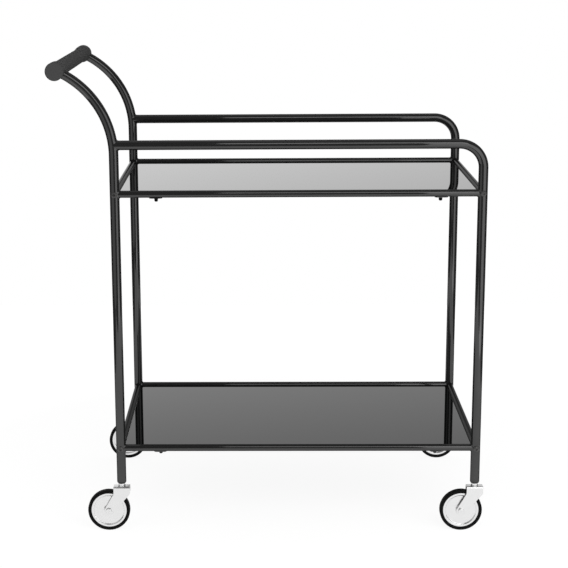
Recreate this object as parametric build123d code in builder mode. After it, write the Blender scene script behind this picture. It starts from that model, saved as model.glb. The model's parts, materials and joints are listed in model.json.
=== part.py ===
"""Bar cart: a tubular steel frame with two glass shelves, a turned grip and four swivel castors.

X runs along the cart with the handle at -X, Y runs across it, Z is up, and the floor is at Z = 0.
All sizes are in millimetres.
"""
import os
from math import cos, isclose, radians, sin, sqrt

from build123d import *

# Frame tubes
post_spacing_x = 611.0  # between post axes along the cart
post_spacing_y = 360.0  # between post axes across the cart
post_d = 16.0
post_wall = 1.5
rail_d = 12.0
rail_wall = 1.2
lower_rail_rise = 60.0  # above the feet of the posts
shelf_spacing = 444.0  # from the lower rails up to the top rails
guard_rise = 82.0  # above the top rails
guard_bend_r = 40.0
handle_bend_rise = 65.0  # above the top rails, where a handle post starts to bend
handle_bend_r = 153.0
handle_bend_deg = 66.4
cope_clearance = 0.1  # weld gap between a tube end and the tube it meets

# Turned grip across the two arms
grip_d = 26.0
grip_collar_d = 30.5
grip_overhang = 20.0  # from an arm's axis to the grip's end face
grip_collar_margin = 2.0  # collar past the inner side of the arm
grip_taper_l = 25.0
grip_edge_r = 1.5
socket_clearance = 0.1
grub_d = 5.0
grub_inset = 5.0  # from the arm's end back along the arm
grub_recess = 1.0  # screw end below the collar's skin

# Bolts and end nuts that join the cross rails to the posts
bolt_d = 6.0
bolt_head_d = 10.0
bolt_head_h = 3.0  # proud of the post
bolt_head_edge_r = 1.5
bolt_socket_d = 4.6  # across the corners of the hexagon
bolt_socket_depth = 1.8
bolt_clearance = 0.2
thread_clearance = 0.05
end_nut_l = 20.0
end_nut_setback = 1.0  # behind the post's skin
end_nut_clearance = 0.05

# Glass panes on padded tabs
glass_t = 5.0
glass_gap = 0.3  # between a pane and the rails or posts about it
glass_corner_r = 4.0
glass_arris = 0.6
tab_inset = 68.0  # from a post's axis along the rail
tab_w = 21.5
tab_t = 1.5
tab_lip = 1.0  # past the rail's axis, outwards
tab_corner_r = 4.0
pad_head_d = 14.0
pad_head_t = 2.0
pad_edge = 1.0  # between the pad and the edge of the pane
pad_stem_d = 4.0
pad_bulb_d = 7.0
pad_bulb_tip_d = 5.5
pad_bulb_l = 7.5
pad_clearance = 0.1

# Castors
wheel_d = 73.0
wheel_trail = 23.0  # from the swivel axis back to the axle
tyre_w = 11.0
tyre_t = 5.5
tyre_edge_r = 1.5
tyre_clearance = 0.05
rim_w = 8.0
rim_lip = 4.0
rim_slope = 1.0
web_w = 5.0
hub_d = 17.0
hub_fillet_r = 1.0
hub_side_gap = 1.0
bush_d = 10.0
bush_side_gap = 0.3
bush_clearance = 0.02
axle_d = 6.0
axle_clearance = 0.05
axle_head_d = 10.6
axle_head_h = 2.5
axle_nut_h = 4.0
axle_nut_cap = 1.2  # closed end of the nut
axle_edge_r = 1.2
fork_t = 1.6
fork_side_gap = 1.0  # between tyre and fork leg
fork_bend_r = 1.2  # inside the bends of the crown
fork_head_w = 28.5
fork_head_h = 13.0
fork_corner_r = 5.0
fork_boss_r = 8.0  # round end of a leg, about the axle
crown_gap = 5.8  # between the top of the wheel and the crown
kingpin_d = 8.0
kingpin_clearance = 0.05
rivet_side_gap = 1.5  # between the rivet head and a fork leg
rivet_h = 3.0
rivet_edge_r = 1.5
rivet_gap = 0.3
washer_d = 13.0
washer_t = 1.5
collar_d = 12.0
collar_t = 3.7
stem_l = 26.0  # inside the plug
plug_l = 30.0  # inside the post
plug_head_h = 4.0
plug_edge_r = 3.0
plug_clearance = 0.05

# Heights of the castor stack, from the floor up
axle_z = wheel_d / 2
crown_z = wheel_d + crown_gap
fork_top_z = crown_z + fork_t
collar_z = fork_top_z + washer_t
plug_z = collar_z + collar_t
post_foot_z = plug_z + plug_head_h

# Heights of the frame, which stands on the castors
lower_rail_z = post_foot_z + lower_rail_rise
top_rail_z = lower_rail_z + shelf_spacing
guard_rail_z = top_rail_z + guard_rise
handle_bend_z = top_rail_z + handle_bend_rise

# Places along the cart, with the whole cart centred on X = 0
handle_reach = handle_bend_r * (1 - cos(radians(handle_bend_deg)))
left_reach = handle_reach + grip_collar_d / 2
right_reach = max(post_d, fork_head_w) / 2
left_x = (left_reach - right_reach - post_spacing_x) / 2
right_x = left_x + post_spacing_x
front_y = -post_spacing_y / 2
back_y = post_spacing_y / 2
grip_x = left_x - handle_reach
grip_z = handle_bend_z + handle_bend_r * sin(radians(handle_bend_deg))

sides = {"front": front_y, "back": back_y}
shelves = {"top": top_rail_z, "lower": lower_rail_z}
corners = {
    "front_left": (left_x, front_y),
    "front_right": (right_x, front_y),
    "back_left": (left_x, back_y),
    "back_right": (right_x, back_y),
}


def handle_axis_x(z):
    """Where the axis of a handle post stands at height z."""
    rise = max(0.0, z - handle_bend_z)
    return left_x - handle_bend_r + sqrt(handle_bend_r**2 - rise**2)


def guard_axis_x(z):
    """Where the axis of a guard post stands at height z, below its rail."""
    rise = max(0.0, z - guard_rail_z + guard_bend_r)
    return right_x - guard_bend_r + sqrt(guard_bend_r**2 - rise**2)


def handle_line(y):
    """Axis of a handle post: straight up, then an arc back to the grip."""
    with BuildLine(Plane.XZ.offset(-y)) as line:
        Line((left_x, post_foot_z), (left_x, handle_bend_z))
        CenterArc((left_x - handle_bend_r, handle_bend_z), handle_bend_r, 0, handle_bend_deg)
    return line.wire()


def guard_line(y):
    """Axis of a guard post: up the post, round the bend, and along the guard rail to the handle post."""
    bend_x = right_x - guard_bend_r
    bend_z = guard_rail_z - guard_bend_r
    with BuildLine(Plane.XZ.offset(-y)) as line:
        Line((right_x, post_foot_z), (right_x, bend_z))
        CenterArc((bend_x, bend_z), guard_bend_r, 0, 90)
        Line((bend_x, guard_rail_z), (handle_axis_x(guard_rail_z), guard_rail_z))
    return line.wire()


def round_bar(line, radius):
    """Solid round bar along a line."""
    with BuildPart() as bar:
        with BuildSketch(Plane(origin=line @ 0, z_dir=line % 0)):
            Circle(radius)
        sweep(path=line)
    return bar.part


def write(piece, name):
    """Label a finished piece and write its file."""
    piece.part.label = name
    export_step(piece.part, f"parts/{name}.step")


os.makedirs("parts", exist_ok=True)

# Space that each post takes up, a weld gap larger than the post, used to cope what meets it
handle_space = {side: round_bar(handle_line(y), post_d / 2 + cope_clearance) for side, y in sides.items()}
guard_space = {side: round_bar(guard_line(y), post_d / 2 + cope_clearance) for side, y in sides.items()}

for side, y in sides.items():
    # Handle post: bent tube, drilled through for the frame bolts
    with BuildPart() as handle_post:
        add(round_bar(handle_line(y), post_d / 2))
        add(round_bar(handle_line(y), post_d / 2 - post_wall), mode=Mode.SUBTRACT)
        with Locations(*[(handle_axis_x(z), y, z) for z in shelves.values()]):
            Cylinder(bolt_d / 2 + bolt_clearance, 2 * post_d, rotation=(90, 0, 0), mode=Mode.SUBTRACT)
    write(handle_post, f"{side}_handle_post")

    # Guard post: right-hand post and guard rail in one bent tube, coped where it meets the handle post
    with BuildPart() as guard_post:
        add(round_bar(guard_line(y), post_d / 2))
        add(round_bar(guard_line(y), post_d / 2 - post_wall), mode=Mode.SUBTRACT)
        add(handle_space[side], mode=Mode.SUBTRACT)
        with Locations(*[(guard_axis_x(z), y, z) for z in shelves.values()]):
            Cylinder(bolt_d / 2 + bolt_clearance, 2 * post_d, rotation=(90, 0, 0), mode=Mode.SUBTRACT)
    write(guard_post, f"{side}_guard_post")

    # Long shelf rails: straight tubes welded between the two posts of one side
    for shelf, z in shelves.items():
        start_x = handle_axis_x(z)
        end_x = guard_axis_x(z)
        with BuildPart() as long_rail:
            with BuildSketch(Plane(origin=(start_x, y, z), z_dir=(1, 0, 0))):
                Circle(rail_d / 2)
                Circle(rail_d / 2 - rail_wall, mode=Mode.SUBTRACT)
            extrude(amount=end_x - start_x)
            add(handle_space[side], mode=Mode.SUBTRACT)
            add(guard_space[side], mode=Mode.SUBTRACT)
        write(long_rail, f"{shelf}_{side}_rail")

# Cross rails: straight tubes bolted between the front and back posts
bolt_points = []
for shelf, z in shelves.items():
    ends = {"left": (handle_axis_x(z), handle_space), "right": (guard_axis_x(z), guard_space)}
    for end, (x, post_space) in ends.items():
        bolt_points.append((x, z))
        with BuildPart() as cross_rail:
            with BuildSketch(Plane(origin=(x, front_y, z), z_dir=(0, 1, 0))):
                Circle(rail_d / 2)
                Circle(rail_d / 2 - rail_wall, mode=Mode.SUBTRACT)
            extrude(amount=post_spacing_y)
            for side, y in sides.items():
                add(post_space[side], mode=Mode.SUBTRACT)
                with BuildSketch(Plane(origin=(x, y, z), z_dir=(1, 0, 0))):
                    Circle(rail_d / 2 + cope_clearance)
                extrude(amount=post_d, both=True, mode=Mode.SUBTRACT)
        write(cross_rail, f"{shelf}_{end}_rail")

# End nuts: threaded steel plugs fixed in both ends of each cross rail
end_nut_r = rail_d / 2 - rail_wall - end_nut_clearance
end_nut_start = post_d / 2 + end_nut_setback
with BuildPart() as end_nuts:
    for y in sides.values():
        inward = -1 if y > 0 else 1
        with BuildSketch(Plane.XZ.offset(-y - inward * end_nut_start)):
            with Locations(*bolt_points):
                Circle(end_nut_r)
                Circle(bolt_d / 2 + thread_clearance, mode=Mode.SUBTRACT)
        extrude(amount=-inward * end_nut_l)
write(end_nuts, "rail_end_nuts")

# Frame bolts: a domed head hollowed to sit on the post, a shank through the post into the end nut
head_face = post_d / 2 + bolt_head_h
shank_start = post_d / 2 + (bolt_head_h - bolt_socket_depth) / 2
bolt_reach = end_nut_start + end_nut_l
with BuildPart() as frame_bolts:
    for y in sides.values():
        with BuildSketch(Plane.XZ.offset(-y)):
            with Locations(*bolt_points):
                Circle(bolt_head_d / 2)
        extrude(amount=head_face if y < 0 else -head_face)
    rims = frame_bolts.edges().filter_by(GeomType.CIRCLE)
    fillet(rims.group_by(Axis.Y)[0] + rims.group_by(Axis.Y)[-1], bolt_head_edge_r)
    for side in sides:
        add(handle_space[side], mode=Mode.SUBTRACT)
        add(guard_space[side], mode=Mode.SUBTRACT)
    for y in sides.values():
        outward = 1 if y > 0 else -1
        with BuildSketch(Plane.XZ.offset(-y - outward * shank_start)):
            with Locations(*bolt_points):
                Circle(bolt_d / 2)
        extrude(amount=outward * (shank_start + bolt_reach))
        with BuildSketch(Plane.XZ.offset(-y - outward * head_face)):
            with Locations(*bolt_points):
                RegularPolygon(bolt_socket_d / 2, 6)
        extrude(amount=outward * bolt_socket_depth, mode=Mode.SUBTRACT)
write(frame_bolts, "frame_bolts")

# Shelves: a glass pane between the rails, lying on four padded tabs under the long rails
rail_margin = rail_d / 2 + glass_gap
post_margin = (post_d / 2 + glass_gap + glass_corner_r) / sqrt(2) - glass_corner_r  # round corner past a post
pane_margin = max(rail_margin, post_margin)
pad_in = pane_margin + pad_edge + pad_head_d / 2
tab_reach = pad_in + pad_head_d / 2 + pad_edge
for shelf, z in shelves.items():
    start_x = handle_axis_x(z)
    end_x = guard_axis_x(z)
    middle_x = (start_x + end_x) / 2
    pane_l = end_x - start_x - 2 * pane_margin
    pane_w = post_spacing_y - 2 * pane_margin
    tab_z = z - rail_d / 2
    pane_z = tab_z + pad_head_t
    tab_xs = (start_x + tab_inset, end_x - tab_inset)
    pad_ys = (front_y + pad_in, back_y - pad_in)
    pad_points = [(x, y) for x in tab_xs for y in pad_ys]

    with BuildPart() as pane:
        with BuildSketch(Plane(origin=(middle_x, 0, pane_z))):
            RectangleRounded(pane_l, pane_w, glass_corner_r)
        extrude(amount=glass_t)
        chamfer(pane.faces().filter_by(Axis.Z).edges(), glass_arris)
    write(pane, f"{shelf}_glass")

    with BuildPart() as tabs:
        with BuildSketch(Plane.XY.offset(tab_z)):
            tab_l = tab_lip + tab_reach
            tab_shift = (tab_reach - tab_lip) / 2
            with Locations(*[(x, y) for x in tab_xs for y in (front_y + tab_shift, back_y - tab_shift)]):
                RectangleRounded(tab_w, tab_l, tab_corner_r)
            with Locations(*pad_points):
                Circle(pad_stem_d / 2 + pad_clearance, mode=Mode.SUBTRACT)
        extrude(amount=-tab_t)
    write(tabs, f"{shelf}_glass_tabs")

    with BuildPart() as pads:
        with BuildSketch(Plane.XY.offset(tab_z)):
            with Locations(*pad_points):
                Circle(pad_head_d / 2)
        extrude(amount=pad_head_t)
        with BuildSketch(Plane.XY.offset(tab_z)):
            with Locations(*pad_points):
                Circle(pad_stem_d / 2)
        extrude(amount=-tab_t)
        with Locations(*[(x, y, tab_z - tab_t) for x, y in pad_points]):
            bulb_align = (Align.CENTER, Align.CENTER, Align.MAX)
            Cone(pad_bulb_tip_d / 2, pad_bulb_d / 2, pad_bulb_l, align=bulb_align)
        tips = pads.edges().filter_by(GeomType.CIRCLE).group_by(Axis.Z)[0]
        fillet(tips, pad_bulb_tip_d / 4)
    write(pads, f"{shelf}_glass_pads")

# Grip: turned bar with thicker ends, pushed on to the two arms
grip_half = post_spacing_y / 2 + grip_overhang
taper_end = post_spacing_y / 2 - post_d / 2 - grip_collar_margin
taper_start = taper_end - grip_taper_l
with BuildPart() as grip:
    with BuildSketch(Plane(origin=(grip_x, 0, grip_z), x_dir=(0, 1, 0), z_dir=(1, 0, 0))):
        with BuildLine():
            Polyline(
                (-grip_half, 0),
                (-grip_half, grip_collar_d / 2),
                (-taper_end, grip_collar_d / 2),
                (-taper_start, grip_d / 2),
                (taper_start, grip_d / 2),
                (taper_end, grip_collar_d / 2),
                (grip_half, grip_collar_d / 2),
                (grip_half, 0),
                close=True,
            )
        make_face()
    revolve(axis=Axis((grip_x, 0, grip_z), (0, 1, 0)))
    fillet(grip.faces().filter_by(Axis.Y).edges(), grip_edge_r)
    for y in sides.values():
        add(round_bar(handle_line(y), post_d / 2 + socket_clearance), mode=Mode.SUBTRACT)
    grub_turn = radians(handle_bend_deg) - grub_inset / handle_bend_r
    from_bend_centre = Vector(cos(grub_turn), 0, sin(grub_turn))
    grub_planes = []
    for y in sides.values():
        bend_centre = Vector(left_x - handle_bend_r, y, handle_bend_z)
        arm_point = bend_centre + from_bend_centre * handle_bend_r
        grub_planes.append(Plane(origin=arm_point, z_dir=-from_bend_centre))
    for plane in grub_planes:
        with BuildSketch(plane):
            Circle(grub_d / 2 + thread_clearance)
        extrude(amount=grip_collar_d, mode=Mode.SUBTRACT)
write(grip, "grip")

# Grub screws: through the underside of the grip's ends, on to the arms
grub_start = post_d / 2 + socket_clearance
grub_end = sqrt((grip_collar_d / 2) ** 2 - grub_inset**2) - grub_recess
with BuildPart() as grub_screws:
    for plane in grub_planes:
        with BuildSketch(plane.offset(grub_start)):
            Circle(grub_d / 2)
        extrude(amount=grub_end - grub_start)
write(grub_screws, "grip_grub_screws")

# Castors: one under each post, with the wheel trailing towards the handle
fork_inner = tyre_w + 2 * fork_side_gap
fork_outer = fork_inner + 2 * fork_t
rim_r = wheel_d / 2 - tyre_t
bush_r = bush_d / 2
for corner, (x, y) in corners.items():
    axle_x = x - wheel_trail
    axle_axis = Axis((axle_x, y, axle_z), (0, 1, 0))
    wheel_plane = Plane(origin=(axle_x, y, axle_z), x_dir=(1, 0, 0), z_dir=(0, 0, 1))
    near_face = Plane(origin=(axle_x, y - fork_outer / 2, axle_z), x_dir=(1, 0, 0), z_dir=(0, -1, 0))
    far_face = Plane(origin=(axle_x, y + fork_outer / 2, axle_z), x_dir=(1, 0, 0), z_dir=(0, 1, 0))

    # Plug: closes the lower end of the post and holds the stem
    with BuildPart() as plug:
        with BuildSketch(Plane(origin=(x, y, plug_z))):
            Circle(post_d / 2)
        extrude(amount=plug_head_h)
        fillet(plug.edges().group_by(Axis.Z)[0], plug_edge_r)
        with BuildSketch(Plane(origin=(x, y, post_foot_z))):
            Circle(post_d / 2 - post_wall - plug_clearance)
        extrude(amount=plug_l)
        with BuildSketch(Plane(origin=(x, y, plug_z))):
            Circle(kingpin_d / 2 + thread_clearance)
        extrude(amount=stem_l, mode=Mode.SUBTRACT)
    write(plug, f"{corner}_post_plug")

    # Stem: shank in the plug, collar under it, kingpin through the fork, and a rivet head below the crown
    rivet_top = crown_z - rivet_gap
    with BuildPart() as stem:
        with BuildSketch(Plane(origin=(x, y, rivet_top - rivet_h))):
            Circle(fork_inner / 2 - rivet_side_gap)
        extrude(amount=rivet_h)
        fillet(stem.edges().group_by(Axis.Z)[0], rivet_edge_r)
        with BuildSketch(Plane(origin=(x, y, rivet_top))):
            Circle(kingpin_d / 2)
        extrude(amount=plug_z + stem_l - rivet_top)
        with BuildSketch(Plane(origin=(x, y, collar_z))):
            Circle(collar_d / 2)
        extrude(amount=collar_t)
    write(stem, f"{corner}_stem")

    # Thrust washer: between the stem's collar and the fork crown
    with BuildPart() as washer:
        with BuildSketch(Plane(origin=(x, y, fork_top_z))):
            Circle(washer_d / 2)
            Circle(kingpin_d / 2 + kingpin_clearance, mode=Mode.SUBTRACT)
        extrude(amount=washer_t)
    write(washer, f"{corner}_thrust_washer")

    # Fork: pressed sheet, two legs and a crown with rounded bends
    with BuildPart() as fork:
        with BuildSketch(Plane.XZ.offset(-y)) as leg:
            with Locations((axle_x, axle_z)):
                Circle(fork_boss_r)
            with Locations((x, fork_top_z - fork_head_h / 2)):
                Rectangle(fork_head_w, fork_head_h)
            make_hull()
            head_corners = leg.vertices().filter_by_position(Axis.Y, crown_z - fork_head_h, crown_z)
            fillet(head_corners, fork_corner_r)
        extrude(amount=fork_outer / 2, both=True)
        crown_bends = fork.edges().filter_by(Axis.X).group_by(Axis.Z)[-1]
        fillet(crown_bends, fork_bend_r + fork_t)
        with BuildSketch(Plane.YZ.offset(axle_x)) as throat:
            with Locations((y, crown_z / 2)):
                Rectangle(fork_inner, crown_z)
            fillet(throat.vertices().group_by(Axis.Y)[-1], fork_bend_r)
        extrude(amount=wheel_d, both=True, mode=Mode.SUBTRACT)
        with Locations((axle_x, y, axle_z)):
            Cylinder(axle_d / 2 + axle_clearance, 2 * fork_outer, rotation=(90, 0, 0), mode=Mode.SUBTRACT)
        with Locations((x, y, fork_top_z)):
            Cylinder(kingpin_d / 2 + kingpin_clearance, 4 * fork_t, mode=Mode.SUBTRACT)
    write(fork, f"{corner}_fork")

    # Axle: bolt through both legs, head to the front
    with BuildPart() as axle:
        with BuildSketch(near_face):
            Circle(axle_head_d / 2)
        extrude(amount=axle_head_h)
        fillet(axle.edges().group_by(Axis.Y)[0], axle_edge_r)
        with BuildSketch(near_face):
            Circle(axle_d / 2)
        extrude(amount=-(fork_outer + axle_nut_h - axle_nut_cap))
    write(axle, f"{corner}_axle")

    # Axle nut: capped nut on the far leg
    with BuildPart() as axle_nut:
        with BuildSketch(far_face):
            Circle(axle_head_d / 2)
        extrude(amount=axle_nut_h)
        fillet(axle_nut.edges().group_by(Axis.Y)[-1], axle_edge_r)
        with BuildSketch(far_face):
            Circle(axle_d / 2 + thread_clearance)
        extrude(amount=axle_nut_h - axle_nut_cap, mode=Mode.SUBTRACT)
    write(axle_nut, f"{corner}_axle_nut")

    # Bush: sleeve in the hub that runs on the axle
    bush_l = fork_inner - 2 * bush_side_gap
    with BuildPart() as bush:
        with BuildSketch(wheel_plane):
            with Locations(((axle_d / 2 + axle_clearance + bush_r) / 2, 0)):
                Rectangle(bush_r - axle_d / 2 - axle_clearance, bush_l)
        revolve(axis=axle_axis)
    write(bush, f"{corner}_bush")

    # Wheel disc: hub, dished web and rim
    hub_half = fork_inner / 2 - hub_side_gap
    bore_r = bush_r + bush_clearance
    lip_r = rim_r - rim_lip
    with BuildPart() as wheel:
        with BuildSketch(wheel_plane):
            with BuildLine():
                Polyline(
                    (bore_r, 0),
                    (bore_r, hub_half),
                    (hub_d / 2, hub_half),
                    (hub_d / 2, web_w / 2),
                    (lip_r - rim_slope, web_w / 2),
                    (lip_r, rim_w / 2),
                    (rim_r, rim_w / 2),
                    (rim_r, 0),
                    close=True,
                )
            make_face()
            mirror(about=Plane.XZ)
        revolve(axis=axle_axis)
        circles = wheel.edges().filter_by(GeomType.CIRCLE)
        fillet(circles.filter_by(lambda edge: isclose(edge.radius, hub_d / 2)), hub_fillet_r)
    write(wheel, f"{corner}_wheel")

    # Tyre: rubber band with rounded shoulders, stretched on the rim
    with BuildPart() as tyre:
        with BuildSketch(wheel_plane) as section:
            inner_r = rim_r + tyre_clearance
            with Locations(((inner_r + wheel_d / 2) / 2, 0)):
                Rectangle(wheel_d / 2 - inner_r, tyre_w)
            fillet(section.vertices().group_by(Axis.X)[-1], tyre_edge_r)
        revolve(axis=axle_axis)
    write(tyre, f"{corner}_tyre")
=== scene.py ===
# A bar cart: bent steel tubes, two black glass shelves, a turned grip and four swivel castors.
import json
from math import acos, atan2, ceil, cos, pi, radians, sin, sqrt, tau

import bmesh
import bpy
from bmesh.types import BMEdge, BMFace, BMVert
from mathutils import Matrix, Vector


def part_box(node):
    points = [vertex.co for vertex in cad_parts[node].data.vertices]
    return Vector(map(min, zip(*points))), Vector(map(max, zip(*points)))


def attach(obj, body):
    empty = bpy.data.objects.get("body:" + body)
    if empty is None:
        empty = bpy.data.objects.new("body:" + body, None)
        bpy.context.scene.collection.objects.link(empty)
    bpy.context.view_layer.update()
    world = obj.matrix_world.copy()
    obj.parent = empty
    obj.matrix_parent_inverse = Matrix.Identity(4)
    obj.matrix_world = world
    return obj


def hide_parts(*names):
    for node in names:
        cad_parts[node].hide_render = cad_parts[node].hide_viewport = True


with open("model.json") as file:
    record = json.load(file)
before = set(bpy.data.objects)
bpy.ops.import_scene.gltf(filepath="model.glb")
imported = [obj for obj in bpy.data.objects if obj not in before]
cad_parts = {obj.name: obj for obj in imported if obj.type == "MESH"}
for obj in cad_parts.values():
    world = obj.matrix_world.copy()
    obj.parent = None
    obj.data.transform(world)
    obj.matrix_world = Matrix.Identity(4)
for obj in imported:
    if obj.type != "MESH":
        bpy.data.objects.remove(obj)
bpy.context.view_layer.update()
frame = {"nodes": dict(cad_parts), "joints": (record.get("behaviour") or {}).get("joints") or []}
scene = bpy.context.scene

# Handle posts: two 16 mm steel tubes that rise from the left-hand castors and sweep back to the grip.
# Each is one length of tube, bent cold, then sprayed with gloss black lacquer and baked.
# A plug closes the foot and the grip closes the top, so only the outer skin is drawn.
mm = 0.001
along_cart = Vector((1, 0, 0))
across_cart = Vector((0, 1, 0))
up = Vector((0, 0, 1))
tube_sides = 64
bend_step = radians(2)
merge_gap = 0.001 * mm
sharp_angle = radians(38)
post_r = 8 * mm
handle_bend_r = 153 * mm
handle_bend_rise = 65 * mm
handle_bend_angle = radians(66.4)
joint_at = {joint["name"]: Vector(joint["pos_m"]) for joint in frame["joints"]}
left_x = joint_at["front_left_swivel"].x
right_x = joint_at["front_right_swivel"].x
sides = {"front": joint_at["front_left_swivel"].y, "back": joint_at["back_left_swivel"].y}
shelves = {shelf: sum(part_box(f"{shelf}_front_rail"), Vector()).z / 2 for shelf in ("top", "lower")}
foot_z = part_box("front_handle_post")[0].z
handle_bend_z = shelves["top"] + handle_bend_rise


def linear(code):
    """An sRGB hex colour as the linear colour that a shader takes."""
    shares = [int(code[i:i + 2], 16) / 255 for i in (1, 3, 5)]
    return [s / 12.92 if s <= 0.04045 else ((s + 0.055) / 1.055) ** 2.4 for s in shares] + [1]


def blank_material(name):
    """A material with an empty node tree."""
    material = bpy.data.materials.new(name)
    material.use_nodes = True
    material.node_tree.nodes.clear()
    return material


def add_node(owner, kind, feeds=None, **settings):
    """Add a node with its settings, and the values or the sockets that feed its inputs."""
    node = owner.node_tree.nodes.new(kind)
    for name, value in settings.items():
        setattr(node, name, value)
    for name, value in (feeds or {}).items():
        if isinstance(value, bpy.types.NodeSocket):
            owner.node_tree.links.new(value, node.inputs[name])
        else:
            node.inputs[name].default_value = value
    return node


def facing(centre, way):
    """The place of a shape that is drawn about Z, turned so that Z points that way."""
    return Matrix.Translation(centre) @ way.to_track_quat("Z", "Y").to_matrix().to_4x4()


def only(kind, parts):
    """The parts of one kind among those that an operator gives back."""
    return [part for part in parts if isinstance(part, kind)]


def bar_start(bm, radius, centre, way):
    """The disc that a round bar is drawn from, square to the way it starts."""
    disc = bmesh.ops.create_circle(bm, cap_ends=True, segments=tube_sides, radius=radius,
                                   matrix=facing(centre, way))
    return disc["verts"][0].link_faces[0]


def drawn_on(bm, end, offset):
    """Draw a bar straight on from its end face."""
    end = only(BMFace, bmesh.ops.extrude_face_region(bm, geom=[end, *end.edges])["geom"])[0]
    bmesh.ops.translate(bm, vec=offset, verts=end.verts[:])
    return end


def bent_on(bm, end, centre, angle):
    """Bend a bar on from its end face, towards the handle, about a level axis across the cart."""
    bend = {"cent": centre, "axis": -across_cart, "angle": angle, "steps": ceil(angle / bend_step)}
    return only(BMFace, bmesh.ops.spin(bm, geom=[end, *end.edges], **bend)["geom_last"])[0]


def finished(bm, name, material):
    """A piece from a bmesh: doubles merged, faces turned outwards, smooth between sharp edges."""
    bmesh.ops.remove_doubles(bm, verts=bm.verts, dist=merge_gap)
    bmesh.ops.recalc_face_normals(bm, faces=bm.faces)
    for face in bm.faces:
        face.smooth = True
    for edge in bm.edges:
        edge.smooth = edge.calc_face_angle(0) < sharp_angle
    mesh = bpy.data.meshes.new(name)
    bm.to_mesh(mesh)
    bm.free()
    mesh.materials.append(material)
    piece = bpy.data.objects.new(name, mesh)
    scene.collection.objects.link(piece)
    flats = piece.modifiers.new("flat_faces", "WEIGHTED_NORMAL")
    flats.keep_sharp = True
    return piece


# Thin stoved lacquer, smoky black over polished steel: the steel shows through it as a dark, smooth metal,
# so the studio runs in soft strips along each tube, and the edges of the tubes stay dark.
lacquer = blank_material("gloss_black_lacquer")
peel_size = 3 * mm
peel_depth = 0.0015 * mm
cloud_size = 60 * mm
at = add_node(lacquer, "ShaderNodeTexCoord")
peel = add_node(lacquer, "ShaderNodeTexNoise", {"Vector": at.outputs["Object"], "Scale": 1 / peel_size})
cloud = add_node(lacquer, "ShaderNodeTexNoise", {"Vector": at.outputs["Object"], "Scale": 1 / cloud_size})
shade = add_node(lacquer, "ShaderNodeMix", {
    "Factor": cloud.outputs["Fac"],
    "A": linear("#474747"),
    "B": linear("#4E4E4E"),
}, data_type="RGBA")
gloss = add_node(lacquer, "ShaderNodeMapRange", {
    "Value": cloud.outputs["Fac"],
    "To Min": 0.04,
    "To Max": 0.07,
})
bumps = add_node(lacquer, "ShaderNodeBump", {"Height": peel.outputs["Fac"], "Distance": peel_depth})
skin = add_node(lacquer, "ShaderNodeBsdfPrincipled", {
    "Base Color": shade.outputs["Result"],
    "Roughness": gloss.outputs["Result"],
    "Normal": bumps.outputs["Normal"],
    "Metallic": 0.8,
    "Specular Tint": linear("#303030"),
})
add_node(lacquer, "ShaderNodeOutputMaterial", {"Surface": skin.outputs["BSDF"]})

for side, y in sides.items():
    bm = bmesh.new()
    end = bar_start(bm, post_r, Vector((left_x, y, foot_z)), up)
    end = drawn_on(bm, end, up * (handle_bend_z - foot_z))
    bent_on(bm, end, Vector((left_x - handle_bend_r, y, handle_bend_z)), handle_bend_angle)
    post = finished(bm, f"{side}_handle_tube", lacquer)
    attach(post, "frame")
    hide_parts(f"{side}_handle_post")

# Guard posts: the right-hand posts, each bent at the top into a guard rail that runs back to the handle post.
# The rail's end is cut to the round of the handle post, welded, and the bead ground smooth before lacquering.
guard_bend_r = 40 * mm
guard_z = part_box("front_guard_post")[1].z - post_r
weld_bead = 2.6 * mm
bead_steps = 8


def handle_axis(y):
    """The axis of a handle post as a function of height, which leans back where its bend begins."""
    def at_height(z):
        rise = max(0, z - handle_bend_z)
        return Vector((left_x - handle_bend_r + sqrt(handle_bend_r**2 - rise**2), y, z))
    return at_height


def guard_axis(y):
    """The axis of a guard post below its bend, as a function of height."""
    return lambda z: Vector((right_x, y, z))


def fitted_to(bm, end, tube_r, post_axis, toward, bead):
    """Draw a tube on to a post: its end follows the post's skin and, where welded, flares into the bead.

    toward points from the post to the tube. The bead dies out where the two skins run into each other.
    """
    height = end.calc_center_median().z
    across = toward.cross(up)
    for step in range(bead_steps + 1 if bead else 1):
        turn = pi / 2 * step / bead_steps
        end = drawn_on(bm, end, Vector())
        for vert in end.verts:
            offset = vert.co - post_axis(height)
            around = atan2(offset.dot(across), offset.z)
            swell = bead * (1 - (tube_r * sin(around) / post_r) ** 2)
            radius = tube_r + swell * (1 - cos(turn))
            aside = radius * sin(around)
            reach = sqrt(max(0, post_r**2 - aside**2)) + swell * (1 - sin(turn))
            vert.co = post_axis(height + radius * cos(around)) + across * aside + toward * reach


for side, y in sides.items():
    bm = bmesh.new()
    end = bar_start(bm, post_r, Vector((right_x, y, foot_z)), up)
    end = drawn_on(bm, end, up * (guard_z - guard_bend_r - foot_z))
    end = bent_on(bm, end, Vector((right_x - guard_bend_r, y, guard_z - guard_bend_r)), pi / 2)
    fitted_to(bm, end, post_r, handle_axis(y), along_cart, weld_bead)
    post = finished(bm, f"{side}_guard_tube", lacquer)
    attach(post, "frame")
    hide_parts(f"{side}_guard_post")

# Long shelf rails: 12 mm steel tubes, two to a shelf, welded between the posts of one side.
# Their ends are cut to the round of the posts and the beads are ground smooth, so each runs into its post.
rail_r = 6 * mm
middle_x = (left_x + right_x) / 2
for shelf, z in shelves.items():
    for side, y in sides.items():
        bm = bmesh.new()
        middle = bar_start(bm, rail_r, Vector((middle_x, y, z)), along_cart)
        fitted_to(bm, middle, rail_r, guard_axis(y), -along_cart, weld_bead)
        fitted_to(bm, middle, rail_r, handle_axis(y), along_cart, weld_bead)
        rail = finished(bm, f"{shelf}_{side}_tube", lacquer)
        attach(rail, "frame")
        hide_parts(f"{shelf}_{side}_rail")

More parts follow.
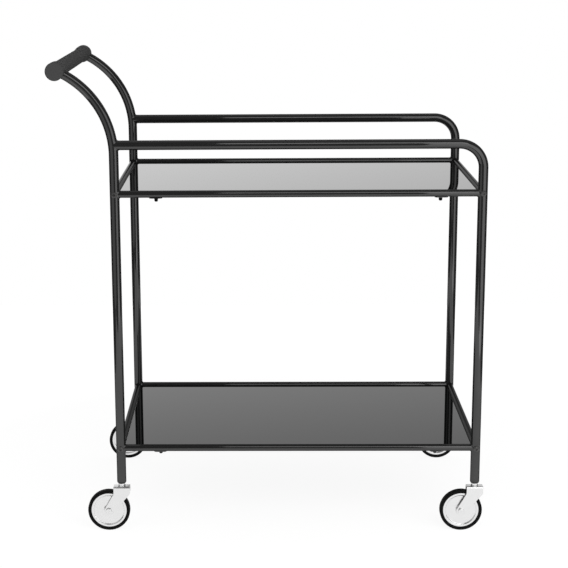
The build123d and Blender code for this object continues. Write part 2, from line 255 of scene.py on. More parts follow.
# Cross rails: 12 mm tubes between the front and back posts, with ends cut to the round of the posts.
# They are bolted, not welded, so that the two side frames can be packed flat, and have no bead.
bolt_places = []
for shelf, z in shelves.items():
    for end_name, post_axis in {"left": handle_axis, "right": guard_axis}.items():
        bm = bmesh.new()
        middle = bar_start(bm, rail_r, post_axis(0)(z), across_cart)
        for side, y in sides.items():
            inward = across_cart if side == "front" else -across_cart
            fitted_to(bm, middle, rail_r, post_axis(y), inward, 0)
            bolt_places.append(facing(post_axis(y)(z), -inward))
        rail = finished(bm, f"{shelf}_{end_name}_tube", lacquer)
        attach(rail, "frame")
        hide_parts(f"{shelf}_{end_name}_rail")

# End nuts: threaded plugs of zinc plated steel, fixed inside the ends of the cross rails.
# They are out of sight in the tubes and keep their construction shape.

# Bright zinc plate: pale grey, in dull flakes of slightly different grey.
zinc = blank_material("zinc_plated_steel")
spangle_size = 3 * mm
at = add_node(zinc, "ShaderNodeTexCoord")
spangle = add_node(zinc, "ShaderNodeTexVoronoi", {"Vector": at.outputs["Object"], "Scale": 1 / spangle_size})
tone = add_node(zinc, "ShaderNodeMix", {
    "Factor": spangle.outputs["Distance"],
    "A": linear("#B9BCC0"),
    "B": linear("#CDCFD1"),
}, data_type="RGBA")
dull = add_node(zinc, "ShaderNodeMapRange", {
    "Value": spangle.outputs["Distance"],
    "To Min": 0.3,
    "To Max": 0.45,
})
plating = add_node(zinc, "ShaderNodeBsdfPrincipled", {
    "Base Color": tone.outputs["Result"],
    "Roughness": dull.outputs["Result"],
    "Metallic": 1,
})
add_node(zinc, "ShaderNodeOutputMaterial", {"Surface": plating.outputs["BSDF"]})
frame["nodes"]["rail_end_nuts"].material_slots[0].material = zinc

# Frame bolts: M6 button heads with a hexagon socket, through each post at each shelf into a cross rail's end.
# Forged steel with a black oxide finish, driven home after the lacquer has cured.
turn_steps = 48
corner_steps = 5
bolt_r = 3 * mm
bolt_head_r = 5 * mm
bolt_head_top = post_r + 3 * mm
bolt_head_seat = 6 * mm
bolt_head_edge = 1.5 * mm
bolt_flat_r = 2.9 * mm
bolt_mouth_r = 2.7 * mm
bolt_end = -29 * mm
bolt_end_edge = 0.6 * mm
hexagon_sides = 6
hexagon_r = 2.3 * mm
hexagon_depth = 1.8 * mm


def turned(bm, profile, closed=False):
    """Turn a profile of (radius, height, rounding) points about Z, with each corner rounded first."""
    points = [bm.verts.new((radius, 0, height)) for radius, height, _ in profile]
    for point, following in zip(points, points[1:]):
        bm.edges.new((point, following))
    if closed:
        bm.edges.new((points[-1], points[0]))
    for point, (_, _, rounding) in zip(points, profile):
        if rounding:
            bmesh.ops.bevel(bm, geom=[point], offset=rounding, segments=corner_steps, profile=0.5,
                            affect="VERTICES", material=-1)
    wire = bm.verts[:] + bm.edges[:]
    bmesh.ops.spin(bm, geom=wire, cent=(0, 0, 0), axis=up, angle=tau, steps=turn_steps, use_merge=True)
    bmesh.ops.remove_doubles(bm, verts=bm.verts, dist=merge_gap)


def set_in_places(pattern, places):
    """One bmesh that holds a copy of a pattern bmesh in each place."""
    mesh = bpy.data.meshes.new("pattern")
    pattern.to_mesh(mesh)
    pattern.free()
    bm = bmesh.new()
    for place in places:
        first = len(bm.verts)
        bm.from_mesh(mesh)
        bm.verts.ensure_lookup_table()
        bmesh.ops.transform(bm, matrix=place, verts=bm.verts[first:])
    bpy.data.meshes.remove(mesh)
    return bm


# Black oxide on steel: a dark grey with a trace of brown and a dull sheen.
# Its grain is drawn coarser than it is, so that it shows.
oxide = blank_material("black_oxide_steel")
grain_size = 0.8 * mm
at = add_node(oxide, "ShaderNodeTexCoord")
grain = add_node(oxide, "ShaderNodeTexNoise", {"Vector": at.outputs["Object"], "Scale": 1 / grain_size})
tone = add_node(oxide, "ShaderNodeMix", {
    "Factor": grain.outputs["Fac"],
    "A": linear("#3E3E3E"),
    "B": linear("#484746"),
}, data_type="RGBA")
dull = add_node(oxide, "ShaderNodeMapRange", {"Value": grain.outputs["Fac"], "To Min": 0.25, "To Max": 0.4})
steel = add_node(oxide, "ShaderNodeBsdfPrincipled", {
    "Base Color": tone.outputs["Result"],
    "Roughness": dull.outputs["Result"],
    "Metallic": 0.15,
})
add_node(oxide, "ShaderNodeOutputMaterial", {"Surface": steel.outputs["BSDF"]})

bolt = bmesh.new()
turned(bolt, [
    (0, bolt_end, 0),
    (bolt_r, bolt_end, bolt_end_edge),
    (bolt_r, bolt_head_seat, 0),
    (bolt_head_r, bolt_head_seat, 0),
    (bolt_head_r, bolt_head_top - bolt_head_edge, bolt_head_edge / 2),
    (bolt_flat_r, bolt_head_top, bolt_head_edge / 4),
    (bolt_mouth_r, bolt_head_top, 0),
])
mouth = [edge for edge in bolt.edges if edge.is_boundary]
socket_place = Matrix.Translation(up * bolt_head_top)
hexagon = bmesh.ops.create_circle(bolt, segments=hexagon_sides, radius=hexagon_r, matrix=socket_place)
rim = list(dict.fromkeys(edge for vert in hexagon["verts"] for edge in vert.link_edges))
bmesh.ops.subdivide_edges(bolt, edges=rim, cuts=turn_steps // hexagon_sides - 1)
rim = [edge for edge in bolt.edges if edge.is_wire]
bmesh.ops.bridge_loops(bolt, edges=mouth + rim)
sunk = bmesh.ops.extrude_edge_only(bolt, edges=rim)["geom"]
bmesh.ops.translate(bolt, vec=-up * hexagon_depth, verts=only(BMVert, sunk))
bmesh.ops.contextual_create(bolt, geom=only(BMEdge, sunk))
bolts = finished(set_in_places(bolt, bolt_places), "button_head_bolts", oxide)
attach(bolts, "frame")
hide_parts("frame_bolts")

# Shelf tabs: 1.5 mm steel lugs welded under the long rails, four to a shelf, that carry the glass.
# They are pressed flat, lacquered with the frame, and keep their construction shape.
for shelf in shelves:
    frame["nodes"][f"{shelf}_glass_tabs"].material_slots[0].material = lacquer

# Glass pads: moulded rubber buttons pushed through the tabs, so that the glass neither slips nor rattles.
# A flat head lies under the pane and a barbed tail shows below the tab.
pad_head_r = 7 * mm
pad_head_t = 2 * mm
pad_head_edge = 0.4 * mm
pad_neck_r = 2 * mm
pad_neck_l = 1.5 * mm
pad_barb_r = 3.5 * mm
pad_barb_edge = 0.5 * mm
pad_tip_r = 2.75 * mm
pad_tip_edge = 1.3 * mm

# Black rubber: matt and very dark, with a dusty grain from the mould.
# The grain is drawn coarser than it is, so that it shows.
rubber = blank_material("moulded_black_rubber")
dust_size = 1.2 * mm
dust_depth = 0.02 * mm
at = add_node(rubber, "ShaderNodeTexCoord")
dust = add_node(rubber, "ShaderNodeTexNoise", {
    "Vector": at.outputs["Object"],
    "Scale": 1 / dust_size,
    "Detail": 4,
})
tone = add_node(rubber, "ShaderNodeMix", {
    "Factor": dust.outputs["Fac"],
    "A": linear("#070707"),
    "B": linear("#101010"),
}, data_type="RGBA")
bumps = add_node(rubber, "ShaderNodeBump", {"Height": dust.outputs["Fac"], "Distance": dust_depth})
hide = add_node(rubber, "ShaderNodeBsdfPrincipled", {
    "Base Color": tone.outputs["Result"],
    "Normal": bumps.outputs["Normal"],
    "Roughness": 0.65,
    "Specular IOR Level": 0.1,
})
add_node(rubber, "ShaderNodeOutputMaterial", {"Surface": hide.outputs["BSDF"]})

for shelf in shelves:
    low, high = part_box(f"{shelf}_glass_pads")
    tip = low.z - high.z
    barb = -pad_head_t - pad_neck_l
    pad = bmesh.new()
    turned(pad, [
        (0, 0, 0),
        (pad_head_r, 0, pad_head_edge),
        (pad_head_r, -pad_head_t, pad_head_edge),
        (pad_neck_r, -pad_head_t, 0),
        (pad_neck_r, barb, 0),
        (pad_barb_r, barb, pad_barb_edge),
        (pad_tip_r, tip, pad_tip_edge),
        (0, tip, 0),
    ])
    xs = (low.x + pad_head_r, high.x - pad_head_r)
    ys = (low.y + pad_head_r, high.y - pad_head_r)
    bm = set_in_places(pad, [Matrix.Translation((x, y, high.z)) for x in xs for y in ys])
    pads = finished(bm, f"{shelf}_rubber_pads", rubber)
    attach(pads, "frame")
    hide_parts(f"{shelf}_glass_pads")

# Shelves: 5 mm tempered glass, black all through, lying on the pads between the rails.
# The corners are rounded and every edge has a small polished arris.
glass_corner_r = 4 * mm
glass_corner_steps = 8
glass_arris = 0.6 * mm
glass_arris_steps = 2

# Black float glass: a mirror-smooth skin over a body that takes in all light, with the faint roller
# wave of tempering, too slight to see except in a long reflection.
glass = blank_material("black_tempered_glass")
wave_size = 70 * mm
wave_depth = 0.004 * mm
at = add_node(glass, "ShaderNodeTexCoord")
wave = add_node(glass, "ShaderNodeTexNoise", {
    "Vector": at.outputs["Object"],
    "Scale": 1 / wave_size,
    "Detail": 0,
})
ripple = add_node(glass, "ShaderNodeBump", {"Height": wave.outputs["Fac"], "Distance": wave_depth})
tone = add_node(glass, "ShaderNodeMix", {
    "Factor": wave.outputs["Fac"],
    "A": linear("#050606"),
    "B": linear("#080909"),
}, data_type="RGBA")
pane_body = add_node(glass, "ShaderNodeBsdfPrincipled", {
    "Base Color": tone.outputs["Result"],
    "Normal": ripple.outputs["Normal"],
    "Roughness": 0.01,
    "IOR": 1.52,
})
add_node(glass, "ShaderNodeOutputMaterial", {"Surface": pane_body.outputs["BSDF"]})

for shelf in shelves:
    low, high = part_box(f"{shelf}_glass")
    bm = bmesh.new()
    bmesh.ops.create_cube(bm, size=1)
    bmesh.ops.scale(bm, vec=high - low, verts=bm.verts)
    bmesh.ops.translate(bm, vec=(low + high) / 2, verts=bm.verts)
    uprights = [edge for edge in bm.edges if abs((edge.verts[0].co - edge.verts[1].co).z) > glass_arris]
    bmesh.ops.bevel(bm, geom=uprights, offset=glass_corner_r, segments=glass_corner_steps, profile=0.5,
                    affect="EDGES", material=-1)
    outline = [edge for edge in bm.edges if abs((edge.verts[0].co - edge.verts[1].co).z) < merge_gap]
    bmesh.ops.bevel(bm, geom=outline, offset=glass_arris, segments=glass_arris_steps, profile=0.5,
                    affect="EDGES", material=-1)
    pane = finished(bm, f"{shelf}_pane", glass)
    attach(pane, "frame")
    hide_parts(f"{shelf}_glass")

# Grip: a beech bar, turned thinner between its two ends and bored to push on to the arms.
# Stained and lacquered matt black, so the grain shows only faintly.
grip_r = 13 * mm
grip_end_r = 15.25 * mm
grip_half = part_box("grip")[1].y
grip_end_l = 30 * mm
grip_taper_l = 25 * mm
grip_end_edge = 2 * mm
grip_sweep = 10 * mm
grip_x = left_x - handle_bend_r * (1 - cos(handle_bend_angle))
grip_z = handle_bend_z + handle_bend_r * sin(handle_bend_angle)

# Matt black lacquer on beech: an even charcoal with long faint flecks of grain along the bar.
wood = blank_material("matt_black_lacquered_beech")
fleck_l = 40 * mm
fleck_w = 1.5 * mm
fleck_depth = 0.004 * mm
at = add_node(wood, "ShaderNodeTexCoord")
grain_way = add_node(wood, "ShaderNodeMapping", {
    "Vector": at.outputs["Object"],
    "Scale": (1 / fleck_w, 1 / fleck_l, 1 / fleck_w),
})
fleck = add_node(wood, "ShaderNodeTexNoise", {"Vector": grain_way.outputs["Vector"], "Scale": 1, "Detail": 3})
tone = add_node(wood, "ShaderNodeMix", {
    "Factor": fleck.outputs["Fac"],
    "A": linear("#484848"),
    "B": linear("#4D4D4D"),
}, data_type="RGBA")
satin = add_node(wood, "ShaderNodeMapRange", {"Value": fleck.outputs["Fac"], "To Min": 0.7, "To Max": 0.85})
bumps = add_node(wood, "ShaderNodeBump", {"Height": fleck.outputs["Fac"], "Distance": fleck_depth})
coat = add_node(wood, "ShaderNodeBsdfPrincipled", {
    "Base Color": tone.outputs["Result"],
    "Roughness": satin.outputs["Result"],
    "Normal": bumps.outputs["Normal"],
    "Specular IOR Level": 0.05,
})
add_node(wood, "ShaderNodeOutputMaterial", {"Surface": coat.outputs["BSDF"]})

thick = grip_half - grip_end_l
thin = thick - grip_taper_l
bm = bmesh.new()
turned(bm, [
    (0, -grip_half, 0),
    (grip_end_r, -grip_half, grip_end_edge),
    (grip_end_r, -thick, grip_sweep),
    (grip_r, -thin, grip_sweep),
    (grip_r, thin, grip_sweep),
    (grip_end_r, thick, grip_sweep),
    (grip_end_r, grip_half, grip_end_edge),
    (0, grip_half, 0),
])
bmesh.ops.transform(bm, matrix=facing(Vector((grip_x, 0, grip_z)), across_cart), verts=bm.verts)
grip = finished(bm, "turned_grip", wood)
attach(grip, "frame")
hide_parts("grip")

# Grub screws: two headless screws under the ends of the grip, which pinch it on the arms.
# Black oxide steel, sunk below the wood, in their construction shape.
frame["nodes"]["grip_grub_screws"].material_slots[0].material = oxide

# Post plugs: moulded plastic, pressed into the feet of the posts, each with a threaded bore for a castor.
# The rounded head is as wide as the post and just shows below it.
plug_shank_r = 6.45 * mm
plug_head_edge = 3 * mm
plug_end_edge = 0.5 * mm
corners = ("front_left", "front_right", "back_left", "back_right")

# Black polyamide: moulded and satin, with a slight texture.
# The texture is drawn coarser than it is, so that it shows.
plastic = blank_material("moulded_black_polyamide")
texture_size = 0.6 * mm
texture_depth = 0.01 * mm
at = add_node(plastic, "ShaderNodeTexCoord")
texture = add_node(plastic, "ShaderNodeTexNoise", {"Vector": at.outputs["Object"], "Scale": 1 / texture_size})
tone = add_node(plastic, "ShaderNodeMix", {
    "Factor": texture.outputs["Fac"],
    "A": linear("#121212"),
    "B": linear("#1A1A1A"),
}, data_type="RGBA")
bumps = add_node(plastic, "ShaderNodeBump", {"Height": texture.outputs["Fac"], "Distance": texture_depth})
moulding = add_node(plastic, "ShaderNodeBsdfPrincipled", {
    "Base Color": tone.outputs["Result"],
    "Normal": bumps.outputs["Normal"],
    "Roughness": 0.35,
})
add_node(plastic, "ShaderNodeOutputMaterial", {"Surface": moulding.outputs["BSDF"]})

for corner in corners:
    low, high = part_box(f"{corner}_post_plug")
    bm = bmesh.new()
    turned(bm, [
        (0, low.z, 0),
        (post_r, low.z, plug_head_edge),
        (post_r, foot_z, 0),
        (plug_shank_r, foot_z, 0),
        (plug_shank_r, high.z, plug_end_edge),
        (0, high.z, 0),
    ])
    swivel = joint_at[f"{corner}_swivel"]
    bmesh.ops.translate(bm, vec=Vector((swivel.x, swivel.y, 0)), verts=bm.verts)
    plug = finished(bm, f"{corner}_plug", plastic)
    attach(plug, "frame")
    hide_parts(f"{corner}_post_plug")

# Stems: turned steel pins that screw into the plugs, with a collar above the fork and a riveted end below it.
# Bright plated like the rest of the castor; the collar and the rivet show, the shank is inside the plug.
kingpin_r = 4 * mm
kingpin_end_edge = 0.5 * mm
collar_r = 6 * mm
collar_edge = 0.4 * mm
rivet_r = 5 * mm
rivet_h = 3 * mm
rivet_round = 1.5 * mm
rivet_seat_edge = 0.3 * mm
swivel_play = 0.05 * mm  # between the collar and the thrust washer

# Bright zinc-nickel plate on steel: pale, even and bright, with a soft haze from the plating bath.
bright = blank_material("bright_plated_steel")
haze_size = 6 * mm
at = add_node(bright, "ShaderNodeTexCoord")
haze = add_node(bright, "ShaderNodeTexNoise", {
    "Vector": at.outputs["Object"],
    "Scale": 1 / haze_size,
    "Detail": 3,
})
tone = add_node(bright, "ShaderNodeMix", {
    "Factor": haze.outputs["Fac"],
    "A": linear("#E4E4E4"),
    "B": linear("#EAEAEA"),
}, data_type="RGBA")
sheen = add_node(bright, "ShaderNodeMapRange", {"Value": haze.outputs["Fac"], "To Min": 0.18, "To Max": 0.26})
plate = add_node(bright, "ShaderNodeBsdfPrincipled", {
    "Base Color": tone.outputs["Result"],
    "Roughness": sheen.outputs["Result"],
    "Metallic": 1,
})
add_node(bright, "ShaderNodeOutputMaterial", {"Surface": plate.outputs["BSDF"]})

for corner in corners:
    low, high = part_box(f"{corner}_stem")
    collar_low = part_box(f"{corner}_thrust_washer")[1].z + swivel_play
    collar_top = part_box(f"{corner}_post_plug")[0].z
    bm = bmesh.new()
    turned(bm, [
        (0, low.z, 0),
        (rivet_r, low.z, rivet_round),
        (rivet_r, low.z + rivet_h, rivet_seat_edge),
        (kingpin_r, low.z + rivet_h, 0),
        (kingpin_r, collar_low, 0),
        (collar_r, collar_low, collar_edge),
        (collar_r, collar_top, collar_edge),
        (kingpin_r, collar_top, 0),
        (kingpin_r, high.z, kingpin_end_edge),
        (0, high.z, 0),
    ])
    swivel = joint_at[f"{corner}_swivel"]
    bmesh.ops.translate(bm, vec=Vector((swivel.x, swivel.y, 0)), verts=bm.verts)
    stem = finished(bm, f"{corner}_kingpin", bright)
    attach(stem, "frame")
    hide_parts(f"{corner}_stem")

# Thrust washers: plain plated rings between each stem's collar and the fork, on which the castor swivels.
# They turn with the fork.
washer_r = 6.5 * mm
washer_bore_r = 4.05 * mm
washer_edge = 0.4 * mm
for corner in corners:
    low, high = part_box(f"{corner}_thrust_washer")
    bm = bmesh.new()
    turned(bm, [
        (washer_bore_r, low.z, 0),
        (washer_r, low.z, washer_edge),
        (washer_r, high.z, washer_edge),
        (washer_bore_r, high.z, 0),
    ], closed=True)
    swivel = joint_at[f"{corner}_swivel"]
    bmesh.ops.translate(bm, vec=Vector((swivel.x, swivel.y, 0)), verts=bm.verts)
    washer = finished(bm, f"{corner}_washer", bright)
    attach(washer, f"{corner}_castor")
    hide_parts(f"{corner}_thrust_washer")

# Forks: each is one blank of 1.6 mm steel sheet, folded over a former into a crown and two legs, then plated.
# A leg is a broad head under the crown that narrows to a round end about the axle.
# Half the sheet's middle plane is drawn and mirrored, and then it gets its thickness and deburred edges.
sheet_t = 1.6 * mm
fork_inner = 13 * mm
fork_bend_r = 1.2 * mm
fork_head_w = 28.5 * mm
fork_head_h = 13 * mm
fork_head_corner = 2.5 * mm
fork_corner_steps = 6
fork_boss_r = 8 * mm
fork_edge = 0.4 * mm
fork_edge_steps = 2
boss_steps = 24
fold_steps = 8
for corner in corners:
    swivel = joint_at[f"{corner}_swivel"]
    axle = joint_at[f"{corner}_wheel_spin"]
    crown_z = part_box(f"{corner}_fork")[1].z
    fold_r = fork_bend_r + sheet_t / 2
    leg_y = swivel.y - (fork_inner + sheet_t) / 2
    fold_z = crown_z - sheet_t / 2 - fold_r
    boss = Vector((axle.x, leg_y, axle.z))
    bm = bmesh.new()
    head = [bm.verts.new((swivel.x + dx, leg_y, z)) for dx, z in (
        (-fork_head_w / 2, crown_z - fork_head_h),
        (-fork_head_w / 2, fold_z),
        (fork_head_w / 2, fold_z),
        (fork_head_w / 2, crown_z - fork_head_h),
    )]
    touch = []  # the angles at which the two sides of the leg run into its round end
    for vert, turn in ((head[0], 1), (head[3], -1)):
        away = vert.co - boss
        touch.append(atan2(away.z, away.x) + turn * acos(fork_boss_r / away.length))
    first = bm.verts.new(boss + Vector((cos(touch[0]), 0, sin(touch[0]))) * fork_boss_r)
    round_end = (touch[1] - touch[0]) % tau
    arc = bmesh.ops.spin(bm, geom=[first], cent=boss, axis=-across_cart, angle=round_end, steps=boss_steps)
    last = only(BMVert, arc["geom_last"])[0]
    top = bm.edges.new((head[1], head[2]))
    for pair in ((first, head[0]), (head[0], head[1]), (head[2], head[3]), (head[3], last)):
        bm.edges.new(pair)
    for vert in (head[0], head[3]):
        bmesh.ops.bevel(bm, geom=[vert], offset=fork_head_corner, segments=fork_corner_steps, profile=0.5,
                        affect="VERTICES", material=-1)
    bmesh.ops.contextual_create(bm, geom=bm.edges[:])
    fold_axis = {"cent": Vector((0, leg_y + fold_r, fold_z)), "axis": -along_cart}
    fold = bmesh.ops.spin(bm, geom=[top, *top.verts], angle=pi / 2, steps=fold_steps, **fold_axis)
    crown = bmesh.ops.extrude_edge_only(bm, edges=only(BMEdge, fold["geom_last"]))["geom"]
    to_middle = across_cart * (swivel.y - leg_y - fold_r)
    bmesh.ops.translate(bm, vec=to_middle, verts=only(BMVert, crown))
    bmesh.ops.mirror(bm, geom=bm.verts[:] + bm.edges[:] + bm.faces[:], axis="Y",
                     matrix=Matrix.Translation((0, -swivel.y, 0)), merge_dist=merge_gap)
    fork = finished(bm, f"{corner}_pressed_fork", bright)
    wall = fork.modifiers.new("sheet", "SOLIDIFY")
    wall.thickness = sheet_t
    wall.offset = 0
    deburred = fork.modifiers.new("deburred", "BEVEL")
    deburred.width = fork_edge
    deburred.segments = fork_edge_steps
    deburred.limit_method = "ANGLE"
    fork.modifiers.move(0, len(fork.modifiers) - 1)  # the flat faces are shaded last
    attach(fork, f"{corner}_castor")
    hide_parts(f"{corner}_fork")

# Axles: plated bolts through both legs of the fork, with a low round head to the front.
# The shank carries the wheel's bush, and a small centre mark is left in the head from turning.
axle_r = 3 * mm
axle_end_edge = 0.5 * mm
axle_head_r = 5.3 * mm
axle_head_h = 2.5 * mm
axle_head_round = 1.2 * mm
axle_seat_edge = 0.3 * mm
centre_mark_r = 1 * mm
centre_mark_edge = 0.2 * mm
for corner in corners:
    axle = joint_at[f"{corner}_wheel_spin"]
    low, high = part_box(f"{corner}_axle")
    head_face = axle.y - low.y
    shank_end = axle.y - high.y
    bm = bmesh.new()
    turned(bm, [
        (0, shank_end, 0),
        (axle_r, shank_end, axle_end_edge),
        (axle_r, head_face - axle_head_h, 0),
        (axle_head_r, head_face - axle_head_h, axle_seat_edge),
        (axle_head_r, head_face, axle_head_round),
        (centre_mark_r, head_face, centre_mark_edge),
        (0, head_face - centre_mark_r, 0),
    ])
    bmesh.ops.transform(bm, matrix=facing(axle, -across_cart), verts=bm.verts)
    pin = finished(bm, f"{corner}_axle_bolt", bright)
    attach(pin, f"{corner}_castor")
    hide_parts(f"{corner}_axle")

# Axle nuts: domed cap nuts, plated, on the far leg of each fork.
# A hexagon base takes the spanner and the dome covers the end of the thread.
nut_hexagon_h = 2.6 * mm
nut_dome_r = 4.2 * mm
nut_dome_drop = 0.6 * mm
nut_dome_round = 1 * mm
for corner in corners:
    axle = joint_at[f"{corner}_wheel_spin"]
    low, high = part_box(f"{corner}_axle_nut")
    seat = low.y - axle.y
    dome_top = high.y - axle.y
    bm = bmesh.new()
    turned(bm, [
        (0, seat, 0),
        (nut_dome_r, seat, 0),
        (nut_dome_r, dome_top - nut_dome_drop, nut_dome_round),
        (nut_dome_r / 2, dome_top, nut_dome_round),
        (0, dome_top, 0),
    ])
    base = bmesh.ops.create_circle(bm, cap_ends=True, segments=hexagon_sides, radius=axle_head_r,
                                   matrix=Matrix.Translation(up * seat))
    drawn_on(bm, base["verts"][0].link_faces[0], up * nut_hexagon_h)
    bmesh.ops.transform(bm, matrix=facing(axle, across_cart), verts=bm.verts)
    nut = finished(bm, f"{corner}_cap_nut", bright)
    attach(nut, f"{corner}_castor")
    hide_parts(f"{corner}_axle_nut")

# Bushes: white acetal sleeves pressed into the wheels, which run on the axles.
# Only their ends show, between hub and fork, so they keep their construction shape.

# White acetal: moulded, smooth and waxy, with a faint mottle.
acetal = blank_material("white_acetal")
mottle_size = 2 * mm
at = add_node(acetal, "ShaderNodeTexCoord")
mottle = add_node(acetal, "ShaderNodeTexNoise", {"Vector": at.outputs["Object"], "Scale": 1 / mottle_size})
tone = add_node(acetal, "ShaderNodeMix", {
    "Factor": mottle.outputs["Fac"],
    "A": linear("#E2E2DE"),
    "B": linear("#EDEDEA"),
}, data_type="RGBA")
sleeve = add_node(acetal, "ShaderNodeBsdfPrincipled", {
    "Base Color": tone.outputs["Result"],
    "Roughness": 0.4,
})
add_node(acetal, "ShaderNodeOutputMaterial", {"Surface": sleeve.outputs["BSDF"]})
for corner in corners:
    frame["nodes"][f"{corner}_bush"].material_slots[0].material = acetal

# Wheels: plated discs with a hub, a flat web and a raised rolled rim that holds the tyre.
# Turned and polished, so the web is an even pale mirror and the rim catches a bright edge.
wheel_bore_r = 5.02 * mm
hub_r = 8.5 * mm
hub_half = 5.5 * mm
hub_fillet = 1.5 * mm
web_half = 2.5 * mm
rim_half = 4 * mm
rim_inner_r = 27 * mm
rim_slope = 1 * mm
rim_r = 31 * mm
rim_edge = 0.6 * mm
disc_edge = 0.8 * mm
disc_face = [
    (wheel_bore_r, hub_half, 0),
    (hub_r, hub_half, disc_edge),
    (hub_r, web_half, hub_fillet),
    (rim_inner_r - rim_slope, web_half, disc_edge),
    (rim_inner_r, rim_half, disc_edge),
    (rim_r, rim_half, rim_edge),
]
disc_back = [(radius, -height, rounding) for radius, height, rounding in reversed(disc_face)]
for corner in corners:
    bm = bmesh.new()
    turned(bm, disc_face + disc_back, closed=True)
    axle = joint_at[f"{corner}_wheel_spin"]
    bmesh.ops.transform(bm, matrix=facing(axle, across_cart), verts=bm.verts)
    disc = finished(bm, f"{corner}_wheel_disc", bright)
    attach(disc, f"{corner}_wheel_set")
    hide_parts(f"{corner}_wheel")

# Tyres: solid bands of black rubber with rounded shoulders, stretched over the rims.
# They stand a little wider than the rim, and the tread is plain.
tyre_inner_r = 31.05 * mm
tyre_r = 36.5 * mm
tyre_half = 5.5 * mm
tyre_shoulder = 1.5 * mm
tyre_lip = 0.8 * mm
for corner in corners:
    bm = bmesh.new()
    turned(bm, [
        (tyre_inner_r, -tyre_half, tyre_lip),
        (tyre_r, -tyre_half, tyre_shoulder),
        (tyre_r, tyre_half, tyre_shoulder),
        (tyre_inner_r, tyre_half, tyre_lip),
    ], closed=True)
    axle = joint_at[f"{corner}_wheel_spin"]
    bmesh.ops.transform(bm, matrix=facing(axle, across_cart), verts=bm.verts)
    tyre = finished(bm, f"{corner}_rubber_tyre", rubber)
    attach(tyre, f"{corner}_wheel_set")
    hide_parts(f"{corner}_tyre")

# Floor: a plain white studio sheet, open to the front where the dim room begins.
# The lens and polished surfaces see it as white, and it still takes the cart's shadow.
floor_w = 2.4
floor_front = -1.5
floor_back = 1.4
shadow_share = 0.1  # of the white about the cart, which a shadow can take away
shadow_reach = 1.3
shadow_core = 0.5  # of the reach, beyond which the share fades
near_light = 0.5  # on the sheet about the cart, as a share of white

# Matt white paper: an even white of its own, and about the cart a share from the light that falls there.
paper = blank_material("white_studio_paper")
at = add_node(paper, "ShaderNodeTexCoord")
spread = add_node(paper, "ShaderNodeMapping", {
    "Vector": at.outputs["Object"],
    "Scale": (1 / shadow_reach, 1 / shadow_reach, 1),
})
close_by = add_node(paper, "ShaderNodeTexGradient", {
    "Vector": spread.outputs["Vector"],
}, gradient_type="SPHERICAL")
even_white = add_node(paper, "ShaderNodeMapRange", {
    "Value": close_by.outputs["Fac"],
    "From Max": shadow_core,
    "To Min": 1,
    "To Max": 1 - shadow_share,
})
white = add_node(paper, "ShaderNodeEmission", {"Strength": even_white.outputs["Result"]})
shaded_grey = shadow_share / near_light
shaded = add_node(paper, "ShaderNodeBsdfDiffuse", {"Color": (shaded_grey, shaded_grey, shaded_grey, 1)})
seen_sheet = add_node(paper, "ShaderNodeAddShader", {0: white.outputs[0], 1: shaded.outputs[0]})
sheet = add_node(paper, "ShaderNodeBsdfDiffuse", {"Color": linear("#F4F4F4")})
seen = add_node(paper, "ShaderNodeLightPath")
mirrored = add_node(paper, "ShaderNodeMath", {
    0: seen.outputs["Is Glossy Ray"],
    1: seen.outputs["Is Transmission Ray"],
}, operation="MAXIMUM")
looked_at = add_node(paper, "ShaderNodeMath", {
    0: seen.outputs["Is Camera Ray"],
    1: mirrored.outputs[0],
}, operation="MAXIMUM")
both = add_node(paper, "ShaderNodeMixShader", {
    0: looked_at.outputs[0],
    1: sheet.outputs[0],
    2: seen_sheet.outputs[0],
})
add_node(paper, "ShaderNodeOutputMaterial", {"Surface": both.outputs[0]})
bm = bmesh.new()
bmesh.ops.create_grid(bm, x_segments=1, y_segments=1, size=0.5)
bmesh.ops.scale(bm, vec=(floor_w, floor_back - floor_front, 1), verts=bm.verts)
bmesh.ops.translate(bm, vec=(0, (floor_back + floor_front) / 2, 0), verts=bm.verts)
floor = finished(bm, "studio_floor", paper)


# Lamps: two tall soft boxes standing at the front corners, with a dim gap between them for the lens,
# and one wide soft box high above the lens. Each is plain white; its glow is the brightness of its face.
def soft_box(name, centre, target, width, height, glow):
    """A soft box that faces a target, as bright as glow times white."""
    lamp = bpy.data.lights.new(name, "AREA")
    lamp.shape = "RECTANGLE"
    lamp.size = width
    lamp.size_y = height
    lamp.energy = glow * pi * width * height
    holder = bpy.data.objects.new(name, lamp)
    holder.matrix_world = facing(centre, centre - target)
    holder.visible_camera = False
    scene.collection.objects.link(holder)


soft_box(
    "left_soft_box",
    centre=Vector((-0.81, -0.75, 0.85)),
    target=Vector((-0.2, 0, 0.85)),
    width=1.0,
    height=1.3,
    glow=0.58,
)
soft_box(
    "right_soft_box",
    centre=Vector((0.93, -1.1, 0.7)),
    target=Vector((0.25, 0, 0.7)),
    width=1.24,
    height=1.4,
    glow=1.5,
)
soft_box(
    "top_soft_box",
    centre=Vector((0.5, -1.9, 1.9)),
    target=Vector((0.5, 0, 0.6)),
    width=1.3,
    height=0.9,
    glow=1.85,
)

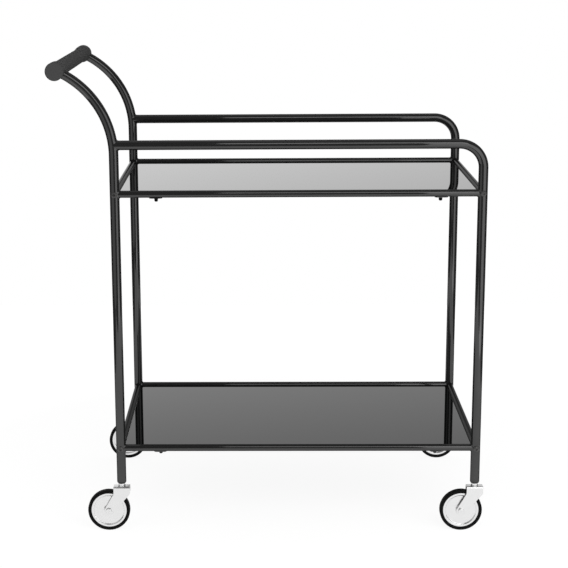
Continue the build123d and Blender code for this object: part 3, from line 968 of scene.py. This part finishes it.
# Studio walls: a white sweep behind the cart, brightest at its foot and to the left, and a dim room
# behind the lens. The lens sees pure white, polished surfaces see the walls, and everything else gets
# an even soft fill.
fill_glow = 0.4
room_glow = 0.09
sweep_glow = 1.25
sweep_shares = {11: 1.0, 20: 0.6, 40: 0.45}  # of the sweep's glow, at each height in degrees
sweep_top_share = 0.45
sweep_half_w = 0.3
sweep_left = 1.22 * sweep_glow
sweep_right = 0.76 * sweep_glow
room_edge = 0.75  # of a direction's back and up parts added, where the sweep begins
sweep_edge = 1.05  # where it has its full glow
walls = bpy.data.worlds.new("white_studio")
scene.world = walls
walls.use_nodes = True
walls.node_tree.nodes.clear()
direction = add_node(walls, "ShaderNodeTexCoord")
part = add_node(walls, "ShaderNodeSeparateXYZ", {"Vector": direction.outputs["Generated"]})
fade = add_node(walls, "ShaderNodeValToRGB", {"Fac": part.outputs["Z"]})
for degrees, share in sweep_shares.items():
    stop = fade.color_ramp.elements.new(sin(radians(degrees)))
    stop.color = (share, share, share, 1)
fade.color_ramp.elements.remove(fade.color_ramp.elements[0])
fade.color_ramp.elements[-1].color = (sweep_top_share, sweep_top_share, sweep_top_share, 1)
lean = add_node(walls, "ShaderNodeMapRange", {
    "Value": part.outputs["X"],
    "From Min": -sweep_half_w,
    "From Max": sweep_half_w,
    "To Min": sweep_left,
    "To Max": sweep_right,
})
back_or_up = add_node(walls, "ShaderNodeMath", {0: part.outputs["Y"], 1: part.outputs["Z"]}, operation="ADD")
behind = add_node(walls, "ShaderNodeMapRange", {
    "Value": back_or_up.outputs[0],
    "From Min": room_edge,
    "From Max": sweep_edge,
})
sweep = add_node(walls, "ShaderNodeBackground", {
    "Color": fade.outputs["Color"],
    "Strength": lean.outputs["Result"],
})
room = add_node(walls, "ShaderNodeBackground", {"Color": linear("#FFFFFF"), "Strength": room_glow})
studio = add_node(walls, "ShaderNodeMixShader", {
    0: behind.outputs["Result"],
    1: room.outputs[0],
    2: sweep.outputs[0],
})
fill = add_node(walls, "ShaderNodeBackground", {"Color": linear("#FFFFFF"), "Strength": fill_glow})
seen = add_node(walls, "ShaderNodeLightPath")
mirrored = add_node(walls, "ShaderNodeMath", {
    0: seen.outputs["Is Glossy Ray"],
    1: seen.outputs["Is Transmission Ray"],
}, operation="MAXIMUM")
light = add_node(walls, "ShaderNodeMixShader", {
    0: mirrored.outputs[0],
    1: fill.outputs[0],
    2: studio.outputs[0],
})
clear = add_node(walls, "ShaderNodeBackground", {"Color": linear("#FFFFFF"), "Strength": 1})
view = add_node(walls, "ShaderNodeMixShader", {
    0: seen.outputs["Is Camera Ray"],
    1: light.outputs[0],
    2: clear.outputs[0],
})
add_node(walls, "ShaderNodeOutputWorld", {"Surface": view.outputs[0]})
scene.view_settings.view_transform = "Standard"

# Camera: a long lens 2.5 m in front of the cart and 1 m above the floor, looking slightly down.
# Its place comes from fitting the posts, rails and wheels to the photograph's frame.
camera_at = Vector((middle_x - 0.0568, -2.55, 1.0053))
camera_yaw = radians(0.983)
camera_pitch = radians(12.077)
camera_roll = radians(-0.396)
focal_px = 1447.2
image_px = 568
lens_axis_px = (240, 250)
lens = bpy.data.cameras.new("front_lens")
lens.sensor_width = 36
lens.lens = focal_px / image_px * lens.sensor_width
lens.shift_x = 0.5 - lens_axis_px[0] / image_px
lens.shift_y = lens_axis_px[1] / image_px - 0.5
camera = bpy.data.objects.new("front_camera", lens)
aimed = Matrix.Rotation(camera_yaw, 4, "Z") @ Matrix.Rotation(pi / 2 - camera_pitch, 4, "X")
camera.matrix_world = Matrix.Translation(camera_at) @ aimed @ Matrix.Rotation(camera_roll, 4, "Z")
scene.collection.objects.link(camera)
scene.camera = camera
